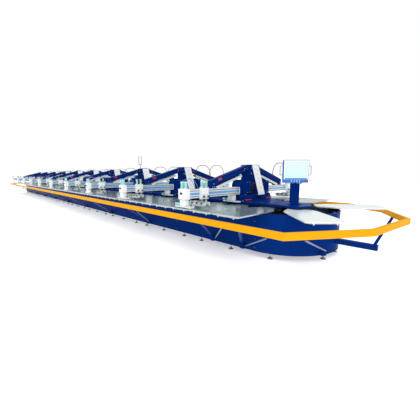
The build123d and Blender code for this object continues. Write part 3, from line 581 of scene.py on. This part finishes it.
def base_block_details():
    """Bolts, red release levers and blue cable ducts at each tower's foot, and its red beam plate."""
    levers, bolts, ducts = Shape(), Shape(), Shape()
    lever_x, lever_z = 0.262, 0.945
    for side in (-1, 1):
        levers.beam((lever_x, side * 0.46, lever_z), (lever_x, side * 0.30, lever_z), 0.022, 0.022)
        levers.rod((lever_x, side * 0.46, lever_z), (lever_x, side * 0.49, lever_z), 0.016)
        for x in (-0.18, 0.22):
            bolts.hexagon((x, side * 0.45, TOWER_FOOT), (0, 0, 1), 0.014, 0.01)
            bolts.hexagon((x, side * 0.53, DECK_TOP), (0, 0, 1), 0.016, 0.012)
    levers.beam((0.063, -1.13, 1.375), (0.063, -1.03, 1.403), 0.010, 0.045)
    ducts.box((-1.9, -0.10, DECK_TOP), (-0.22, 0.10, DECK_TOP + 0.085))
    ducts.box((-1.86, 0.20, DECK_TOP), (-0.26, 0.245, DECK_TOP + 0.045))
    return levers, bolts, ducts


levers, bolts, ducts = base_block_details()
piece("release_levers", levers.copies(station_matrices), "base", RED, 0.003)
piece("tower_base_bolts", bolts.copies(station_matrices), "base", ZINC)
piece("deck_ducts", ducts.copies(station_matrices[:-1]), "base", BLUE, 0.004)


# Truss beams --------------------------------------------------------------------------------


def truss_details():
    """Channel lips along each beam, gussets and bolts, and a ladder tray under it."""
    lips, bolts, rails, rungs = Shape(), Shape(), Shape(), Shape()
    top_in, top_out = Vector((0, 0.17, 1.69)), Vector((0, 1.32, 1.36))
    low_in, low_out = Vector((0, 0.17, 1.56)), Vector((0, 1.20, 1.262))
    for x in (-0.057, 0.057):
        push = Vector((x, 0, 0))
        for start, end, drop in ((top_in, top_out, -0.009), (low_in, low_out, 0.009)):
            move = push + Vector((0, 0, drop))
            lips.beam(start + move, end + move, 0.006, 0.014)
        gusset = [(0.175, 1.575), (0.175, 1.665), (0.33, 1.62), (0.36, 1.535)]
        lips.plate([(x, y, z) for y, z in gusset], (x, 0, 0), 0.005)
        seat = [(1.21, ARM_TOP), (1.21, 1.31), (1.31, 1.33), (1.31, ARM_TOP)]
        lips.plate([(x, y, z) for y, z in seat], (x, 0, 0), 0.005)
        face = x + math.copysign(0.005, x)
        gusset_bolts = [(0.2, 1.60), (0.2, 1.64), (0.31, 1.565), (0.29, 1.61)]
        seat_bolts = [(1.235, 1.24), (1.285, 1.24), (1.26, 1.3)]
        for y, z in gusset_bolts + seat_bolts:
            bolts.hexagon((face, y, z), (x, 0, 0), 0.011, 0.009)
    # The ladder tray hangs just below the beam
    start, end = Vector((0, 0.36, 1.455)), Vector((0, 1.16, 1.225))
    half_tray = Vector((0.042, 0, 0))
    for shift in (-half_tray, half_tray):
        rails.beam(start + shift, end + shift, 0.006, 0.05)
    count = 19
    for i in range(count):
        place = start.lerp(end, (i + 0.5) / count)
        rungs.beam(place - half_tray, place + half_tray, 0.016, 0.05, up=(0, -0.28, 1))
    return lips, bolts, rails, rungs


lips, bolts, rails, rungs = truss_details()
piece("truss_lips", lips.copies(BOTH_SIDES), "base", BLUE, 0.001)
piece("truss_bolts", bolts.copies(BOTH_SIDES), "base", ZINC)
piece("cable_tray_rails", rails.copies(BOTH_SIDES), "base", PALE, 0.001)
piece("cable_tray_rungs", rungs.copies(BOTH_SIDES), "base", BLACK, 0.001)


# Print arms ---------------------------------------------------------------------------------


def arm_details():
    """T-slots along each arm, and the end cap's face plate, knob and screws."""
    slots, caps, screws, knobs = Shape(), Shape(), Shape(), Shape()
    for x in (-ARM_HALF_W - 0.0005, ARM_HALF_W + 0.0005):
        for z in (1.088, 1.188):
            slots.at((x, (ARM_ROOT + ARM_END) / 2, z), (0.003, ARM_END - ARM_ROOT - 0.01, 0.010))
    for x in (-0.045, 0.045):
        slots.at((x, (1.33 + ARM_END) / 2, ARM_TOP + 0.0005), (0.010, ARM_END - 1.34, 0.003))
    caps.at((0, CAP_END - 0.002, 1.135), (0.165, 0.012, 0.145))
    caps.at((0, OUTER_CLAMP, CAP_TOP + 0.002), (0.17, 0.085, 0.006))
    for x in (-0.072, 0.072):
        for z in (1.075, 1.195):
            screws.screw((x, CAP_END + 0.004, z), (0, 1, 0), 0.006)
    profile = [(0, 0.012), (0.012, 0.012), (0.014, 0.022), (0.03, 0.02), (0.034, 0.014)]
    knobs.lathe((0, CAP_END + 0.004, 1.15), (0, 1, 0), profile)
    # Root flange against the tower housing
    caps.at((0, ARM_ROOT + 0.008, 1.1375), (0.20, 0.016, 0.15))
    for x in (-0.092, 0.092):
        for z in (1.08, 1.19):
            screws.hexagon((x, ARM_ROOT + 0.016, z), (0, 1, 0), 0.006, 0.006)
    return slots, caps, screws, knobs


def cylinder_dress(heights, radius):
    """Metal end blocks, four tie rods and a port fitting on a barrel at the origin."""
    low, high = heights
    blocks, ports = Shape(), Shape()
    width, corner = radius * 2.15, radius * 0.86
    blocks.at((0, 0, low + 0.009), (width, width, 0.018))
    blocks.at((0, 0, high - 0.009), (width, width, 0.018))
    for x in (-corner, corner):
        for y in (-corner, corner):
            blocks.rod((x, y, low + 0.01), (x, y, high - 0.01), 0.0028, 6)
    ports.rod((0, 0, high - 0.002), (0, 0, high + 0.012), 0.008, 10)
    return blocks, ports


slots, caps, screws, knobs = arm_details()
piece("arm_slots", slots.copies(BOTH_SIDES), "base", BLACK)
piece("arm_flanges", caps.copies(BOTH_SIDES), "base", WHITE, 0.003)
piece("arm_screws", screws.copies(BOTH_SIDES), "base", ZINC)
piece("arm_end_knobs", knobs.copies(BOTH_SIDES), "base", BLACK)

LIFT_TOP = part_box("lift_cylinders")[1].z
lift_blocks, lift_ports = cylinder_dress((CAP_TOP, LIFT_TOP), 0.021)
lift_spots = [m @ Matrix.Translation((x, OUTER_CLAMP, 0)) for m in BOTH_SIDES for x in (-LIFT_X, LIFT_X)]
piece("lift_cylinder_ends", lift_blocks.copies(lift_spots), "base", ARM, 0.002)
piece("lift_cylinder_ports", lift_ports.copies(lift_spots), "base", BLACK)


def air_lines():
    """Thin air lines that loop from the lift cylinders' ports down to the arm's top."""
    shape = Shape()
    port_z = LIFT_TOP + 0.007
    for x, lean in ((-LIFT_X, 0.02), (LIFT_X, -0.02)):
        points = []
        for i in range(15):
            share = i / 14
            arc = math.sin(math.pi * share)
            z = (port_z + 0.07 * arc) * (1 - share) + (ARM_TOP + 0.16 * arc) * share
            points.append((x + lean * arc, OUTER_CLAMP - 0.30 * share, z))
        shape.tube(points, 0.004, 6)
    return shape


piece("lift_air_lines", air_lines().copies(BOTH_SIDES), "base", STRIPE)


# Carriages, squeegees and flood bars ----------------------------------------------------------


def carriage_details():
    """Front cover, knobs, slide shoes and air lines of one squeegee carriage."""
    cover, knobs, shoes, lines = Shape(), Shape(), Shape(), Shape()
    face = ROD_X + CARRIAGE_HALF_T
    v = CARRIAGE_V
    cover.at((face + 0.010, v, 1.15), (0.020, 0.168, 0.17))
    cover.at((face + 0.024, v, 1.17), (0.010, 0.12, 0.09))
    profile = [(0, 0.010), (0.010, 0.010), (0.012, 0.02), (0.03, 0.019), (0.034, 0.012)]
    for y in (v - 0.055, v + 0.055):
        knobs.lathe((face + 0.02, y, 1.085), (1, 0, 0), profile)
    knobs.at((ROD_X, v, CARRIAGE_TOP + 0.006), (0.03, 0.03, 0.012))
    shoes.at((0.0975, v, 1.205), (0.004, 0.17, 0.028))
    shoes.at((ROD_X, v - 0.085, 1.14), (0.052, 0.012, 0.15))
    shoes.at((ROD_X, v + 0.085, 1.14), (0.052, 0.012, 0.15))
    for y in (v - TOOL_Y, v + TOOL_Y):
        points = []
        for i in range(13):
            turn = math.pi * i / 12
            points.append((ROD_X + 0.012 + 0.045 * math.sin(turn), y, 1.312 + 0.075 * math.cos(turn)))
        lines.tube(points, 0.004, 6)
    return cover, knobs, shoes, lines


def tool_details(v):
    """Holder rail, hand knobs and end plates for a squeegee or flood bar centred at v."""
    holder, knobs = Shape(), Shape()
    for side in (-1, 1):
        holder.at((0, v + side * 0.0155, 0.955), (0.392, 0.005, 0.036))
        holder.at((side * 0.203, v, 0.951), (0.006, 0.036, 0.062))
    profile = [(0, 0.008), (0.008, 0.008), (0.010, 0.017), (0.024, 0.016), (0.027, 0.010)]
    for x in (-0.13, 0.0, 0.13):
        knobs.lathe((x, v + 0.018, 0.958), (0, 1, 0), profile, 12)
    return holder, knobs


cover, knobs, shoes, lines = carriage_details()
STROKE_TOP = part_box("stroke_cylinders_front")[1].z
stroke_blocks, stroke_ports = cylinder_dress((CARRIAGE_TOP, STROKE_TOP), 0.020)
for side_name, side in SIDES:
    places = station_places(side)
    body = f"carriages_{side_name}"
    piece(f"carriage_covers_{side_name}", cover.copies(places), body, WHITE, 0.006, 3)
    piece(f"carriage_knobs_{side_name}", knobs.copies(places), body, BLACK)
    piece(f"carriage_shoes_{side_name}", shoes.copies(places), body, PALE, 0.002)
    piece(f"carriage_air_lines_{side_name}", lines.copies(places), body, BLACK)
    spots = [m @ Matrix.Translation((ROD_X, CARRIAGE_V + y, 0)) for m in places for y in (-TOOL_Y, TOOL_Y)]
    ends = stroke_blocks.copies(spots)
    piece(f"stroke_cylinder_ends_{side_name}", ends, body, ARM, 0.002)
    piece(f"stroke_cylinder_ports_{side_name}", stroke_ports.copies(spots), body, BLACK)
    # The knobs of the two tools face away from each other
    for tool, knob_way in (("squeegees", 1), ("flood_bars", -1)):
        tool_body = f"{tool}_{side_name}"
        low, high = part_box(tool_body)
        tool_v = abs(low.y + high.y) / 2
        holder, tool_knobs = tool_details(tool_v)
        mirror = Matrix.Translation((0, tool_v, 0)) @ Matrix.Diagonal((1, knob_way * side, 1, 1))
        turned = [m @ mirror @ Matrix.Translation((0, -tool_v, 0)) for m in places]
        rails = holder.copies(places)
        piece(f"{tool}_holder_{side_name}", rails, tool_body, ARM, 0.0015)
        piece(f"{tool}_knobs_{side_name}", tool_knobs.copies(turned), tool_body, BLACK)
        if tool == "squeegees":
            blade = Shape()
            blade.box((-0.186, tool_v - 0.0055, low.z + 0.0005), (0.186, tool_v + 0.0055, 0.928))
            blades = blade.copies(places)
            piece(f"squeegee_blades_{side_name}", blades, tool_body, BLADE, 0.001)


# Screen clamps --------------------------------------------------------------------------------


def clamp_details():
    """Covers, jaws, knobs and small cyan cylinders on an arm's two clamp bars."""
    covers, jaws, knobs, barrels = Shape(), Shape(), Shape(), Shape()
    outer_cover_z = 0.984
    covers.at((0, OUTER_CLAMP, outer_cover_z), (0.15, 0.085, 0.102))
    covers.at((0, INNER_CLAMP, 0.990), (0.15, 0.098, 0.114))
    knob_profile = [(0, 0.012), (0.012, 0.014), (0.018, 0.009)]
    barrel_z = CLAMP_LOW + 0.049
    for v, inward in ((OUTER_CLAMP, -1), (INNER_CLAMP, 1)):
        for x in (-0.15, 0.15):
            y = v + inward * 0.03
            jaws.at((x, v + inward * 0.05, CLAMP_LOW + 0.014), (0.09, 0.022, 0.02))
            knobs.rod((x, y, CLAMP_LOW + 0.026), (x, y, CLAMP_LOW + 0.05), 0.007, 10)
            knobs.lathe((x, y, CLAMP_LOW + 0.05), (0, 0, 1), knob_profile, 12)
        barrels.rod((-0.25, v, barrel_z), (-0.08, v, barrel_z), 0.022, 16)
    for x in (-0.045, 0.045):
        knobs.screw((x, OUTER_CLAMP + 0.0425, outer_cover_z), (0, 1, 0), 0.007)
    return covers, jaws, knobs, barrels


covers, jaws, knobs, barrels = clamp_details()
for side_name, side in SIDES:
    places, body = station_places(side), f"clamps_{side_name}"
    piece(f"clamp_covers_{side_name}", covers.copies(places), body, WHITE, 0.006, 3)
    piece(f"clamp_jaws_{side_name}", jaws.copies(places), body, ARM, 0.002)
    piece(f"clamp_knobs_{side_name}", knobs.copies(places), body, BLACK)
    piece(f"clamp_barrels_{side_name}", barrels.copies(places), body, CYAN)


# Pallets --------------------------------------------------------------------------------------


def pallet_details():
    """Levelling knobs under the outer edge and three stiffeners below one pallet along +X."""
    knobs, trims = Shape(), Shape()
    for y in (-0.16, 0.16):
        profile = [(0, 0.016), (0.010, 0.018), (0.016, 0.010), (0.030, 0.009)]
        knobs.lathe((PALLET_OUT - 0.028, y, PALLET_LOW), (0, 0, -1), profile, 12)
    for y in (-0.2, 0.2):
        trims.at((1.40, y, PALLET_LOW - 0.010), (0.82, 0.025, 0.02))
    trims.at((PALLET_OUT - 0.06, 0, PALLET_LOW - 0.010), (0.025, 0.36, 0.02))
    return knobs, trims


knobs, trims = pallet_details()
pallet_places = {
    name: [Matrix.Translation((x, 0, 0)) @ Matrix.Rotation(side * math.pi / 2, 4, "Z") for x in ROW_X]
    for name, side in SIDES
}
for name, end in ENDS:
    outwards = 0 if end > 0 else 180
    centre = Matrix.Translation((end * HALF_RUN, 0, 0))
    turns = [math.radians(outwards + angle) for angle in END_ANGLES]
    pallet_places[name] = [centre @ Matrix.Rotation(turn, 4, "Z") for turn in turns]
for name, places in pallet_places.items():
    piece(f"pallet_knobs_{name}", knobs.copies(places), f"pallets_{name}", WHITE)
    piece(f"pallet_stiffeners_{name}", trims.copies(places), f"pallets_{name}", ARM, 0.002)


# Base, feet and guard rail --------------------------------------------------------------------


def skirt_details():
    """Seam straps and their screws on a long skirt."""
    straps, bolts = Shape(), Shape()
    panels = 10
    middle, height = (SKIRT_LOW + SKIRT_TOP) / 2, SKIRT_TOP - SKIRT_LOW - 0.02
    for i in range(panels + 1):
        x = -HALF_RUN + i * 2 * HALF_RUN / panels
        straps.at((x, SKIRT_R + 0.002, middle), (0.05, 0.004, height))
        for z in (0.17, 0.33, 0.49, 0.65):
            for dx in (-0.016, 0.016):
                bolts.screw((x + dx, SKIRT_R + 0.004, z), (0, 1, 0), 0.005)
    return straps, bolts


both_ways = [Matrix.Diagonal((1, 1, 1, 1)), Matrix.Diagonal((-1, -1, 1, 1))]
straps, bolts = skirt_details()
piece("skirt_straps", straps.copies(both_ways), "base", BLUE, 0.001)
piece("skirt_screws", bolts.copies(both_ways), "base", ZINC)


def ring_lip(z_low, z_high, inner, outer):
    """A racetrack-shaped lip all round the skirt."""
    shape = Shape()
    loop = []
    steps = 48
    for end in (1, -1):
        for i in range(steps + 1):
            turn = -math.pi / 2 + math.pi * i / steps
            loop.append((end, math.cos(turn) * end, math.sin(turn) * end))
    count = len(loop)
    verts = []
    for radius, z in ((inner, z_low), (outer, z_low), (outer, z_high), (inner, z_high)):
        verts += [(end * HALF_RUN + radius * cx, radius * cy, z) for end, cx, cy in loop]
    faces = []
    for band in range(4):
        other = (band + 1) % 4
        for i in range(count):
            j = (i + 1) % count
            faces.append((band * count + i, band * count + j, other * count + j, other * count + i))
    shape.add(verts, faces)
    return shape


LIP_INNER = SKIRT_R - 0.03
top_lip = ring_lip(SKIRT_TOP - 0.001, SKIRT_TOP + 0.004, LIP_INNER, SKIRT_R + 0.002)
bottom_lip = ring_lip(SKIRT_LOW - 0.004, SKIRT_LOW + 0.001, LIP_INNER, SKIRT_R + 0.003)
piece("skirt_top_lip", top_lip, "base", BLUE)
piece("skirt_bottom_lip", bottom_lip, "base", BLUE)


def foot_details(places):
    """A zinc cup over each pad, a nut on the cup and a washer under the beam."""
    cups = Shape()
    profile = [(0, 0.044), (0.006, 0.040), (0.012, 0.024), (0.024, 0.018), (0.026, 0.012)]
    for x, y in places:
        cups.lathe((x, y, 0.009), (0, 0, 1), profile, 20)
        cups.hexagon((x, y, 0.030), (0, 0, 1), 0.017, 0.012)
        cups.lathe((x, y, 0.098), (0, 0, 1), [(0, 0.028), (0.006, 0.028)], 16)
    return cups


def island_centres(node):
    """The plan centre of each separate small solid of a CAD node."""
    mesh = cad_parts[node].data
    reach = 0.15
    near = {}
    for v in mesh.vertices:
        for key in near:
            if (v.co.xy - Vector(key)).length < reach:
                near[key].append(v.co.xy.copy())
                break
        else:
            near[tuple(v.co.xy)] = [v.co.xy.copy()]
    centres = []
    for found in near.values():
        xs, ys = [p.x for p in found], [p.y for p in found]
        centres.append(((min(xs) + max(xs)) / 2, (min(ys) + max(ys)) / 2))
    return centres


piece("foot_cups", foot_details(island_centres("foot_pads")), "base", ZINC)


# Operator panel -------------------------------------------------------------------------------

PANEL_X, PANEL_Y = HALF_RUN + 0.33, -0.25
PANEL_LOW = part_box("control_box")[0].z
PANEL_FRAME = Matrix.Translation((PANEL_X, PANEL_Y, PANEL_LOW)) @ Matrix.Rotation(math.radians(-45), 4, "Z")


def panel_details():
    """In the panel's own frame: X faces the operator, Y runs across and Z is up."""
    front, band, buttons, vents, gland = Shape(), Shape(), Shape(), Shape(), Shape()
    face = 0.035
    # White frame round the display, in four strips
    half_w, low, high = 0.203, 0.070, 0.388
    outer_w, bottom, top = 0.227, 0.066, 0.412
    upright = ((-outer_w, -half_w), (half_w, outer_w))
    for y0, y1 in upright:
        front.box((face, y0, bottom), (face + 0.003, y1, top))
    for z0, z1 in ((high, top), (bottom, low)):
        front.box((face, -half_w, z0), (face + 0.003, half_w, z1))
    band.box((face, -outer_w, 0.008), (face + 0.004, outer_w, 0.062))
    for y in (-0.08, -0.03, 0.02, 0.07):
        profile = [(0, 0.010), (0.004, 0.010), (0.006, 0.007)]
        buttons.lathe((face + 0.004, y, 0.035), (1, 0, 0), profile, 16)
    for k in range(7):
        vents.at((-face - 0.001, 0, 0.12 + 0.03 * k), (0.004, 0.22, 0.009))
    gland.lathe((-0.02, 0.12, 0.0), (0, 0, -1), [(-0.002, 0.016), (0.014, 0.016), (0.022, 0.009)], 14)
    return (
        ("panel_white_frame", front, WHITE, "white_paint"),
        ("panel_band", band, BLUE_LIGHT, "panel_blue"),
        ("panel_buttons", buttons, WHITE, "white_paint"),
        ("panel_vents", vents, BLACK, "dark_paint"),
        ("panel_gland", gland, BLACK, "dark_paint"),
    )


for name, shape, material, slot in panel_details():
    piece(name, shape.copies([PANEL_FRAME]), "operator_panel", material, 0.0015)

pillar_base = Shape()
pillar_base.at((0, 0, DECK_TOP + 0.006 - PANEL_LOW), (0.13, 0.23, 0.012))
piece("pillar_flange", pillar_base.copies([PANEL_FRAME]), "base", BLUE, 0.003)
pillar_bolts = Shape()
for x in (-0.05, 0.05):
    for y in (-0.1, 0.1):
        pillar_bolts.hexagon((x, y, DECK_TOP + 0.012 - PANEL_LOW), (0, 0, 1), 0.011, 0.008)
piece("pillar_bolts", pillar_bolts.copies([PANEL_FRAME]), "base", ZINC)


# Hose fittings --------------------------------------------------------------------------------

HOSE_X = 0.072
TOWER_HOSE_ENDS = ((0.36, 1.37), (1.0, ARM_TOP))
ARM_HOSE_ENDS = ((1.1, ARM_TOP), (1.8, ARM_TOP))


def hose_fittings(x, ends):
    """A hexagon and a tapered collar at each end of the hoses that stand at x beside a tower."""
    shape = Shape()
    for y, z in ends:
        shape.hexagon((x, y, z), (0, 0, 1), 0.018, 0.02)
        shape.lathe((x, y, z + 0.02), (0, 0, 1), [(0, 0.013), (0.03, 0.011)], 14)
    return shape


tower_ends = hose_fittings(HOSE_X, TOWER_HOSE_ENDS).copies(station_matrices[1:])
arm_ends = hose_fittings(-HOSE_X, ARM_HOSE_ENDS).copies(station_matrices)
piece("tower_hose_fittings", tower_ends, "base", ZINC)
piece("arm_hose_fittings", arm_ends, "base", ZINC)


# Stage, light and camera ----------------------------------------------------------------------


def stage():
    """A plain pale floor."""
    mesh = bpy.data.meshes.new("floor")
    half = 90
    corners = [(-half, -half, 0), (half, -half, 0), (half, half, 0), (-half, half, 0)]
    mesh.from_pydata(corners, [], [(0, 1, 2, 3)])
    floor = bpy.data.objects.new("floor", mesh)
    bpy.context.scene.collection.objects.link(floor)
    material = bpy.data.materials.new("floor")
    material.use_nodes = True
    shader = material.node_tree.nodes["Principled BSDF"]
    shader.inputs["Base Color"].default_value = (0.95, 0.95, 0.95, 1)
    shader.inputs["Roughness"].default_value = 0.9
    shader.inputs["Specular IOR Level"].default_value = 0.1
    shader.inputs["Emission Color"].default_value = (1, 1, 1, 1)
    shader.inputs["Emission Strength"].default_value = 0.42
    mesh.materials.append(material)


def lights():
    """A white backdrop, an even soft fill and one broad sun from the front right."""
    world = bpy.data.worlds.new("studio")
    bpy.context.scene.world = world
    world.use_nodes = True
    tree = world.node_tree
    fill = tree.nodes["Background"]
    fill.inputs["Color"].default_value = (0.94, 0.97, 1, 1)
    fill.inputs["Strength"].default_value = 0.8
    backdrop = tree.nodes.new("ShaderNodeBackground")
    backdrop.inputs["Color"].default_value = (1, 1, 1, 1)
    seen = tree.nodes.new("ShaderNodeLightPath").outputs["Is Camera Ray"]
    either = tree.nodes.new("ShaderNodeMixShader")
    tree.links.new(seen, either.inputs["Fac"])
    tree.links.new(fill.outputs[0], either.inputs[1])
    tree.links.new(backdrop.outputs[0], either.inputs[2])
    tree.links.new(either.outputs[0], tree.nodes["World Output"].inputs["Surface"])
    light = bpy.data.lights.new("soft_sun", "SUN")
    light.energy = 1.3
    light.angle = math.radians(60)
    sun = bpy.data.objects.new("soft_sun", light)
    sun.rotation_euler = (math.radians(36), 0, math.radians(48))
    bpy.context.scene.collection.objects.link(sun)


def camera():
    """Standing height, just off the right-hand end, looking back along the front side."""
    data = bpy.data.cameras.new("camera")
    data.sensor_width = 36
    data.lens = 20.9
    data.clip_end = 200
    eye = bpy.data.objects.new("camera", data)
    eye.location = (HALF_RUN + 2.469, -4.643, 1.471)
    eye.rotation_euler = (math.radians(90 - 8.173), 0, math.radians(45.073))
    bpy.context.scene.collection.objects.link(eye)
    bpy.context.scene.camera = eye


stage()
lights()
camera()
bpy.context.scene.view_settings.view_transform = "Standard"
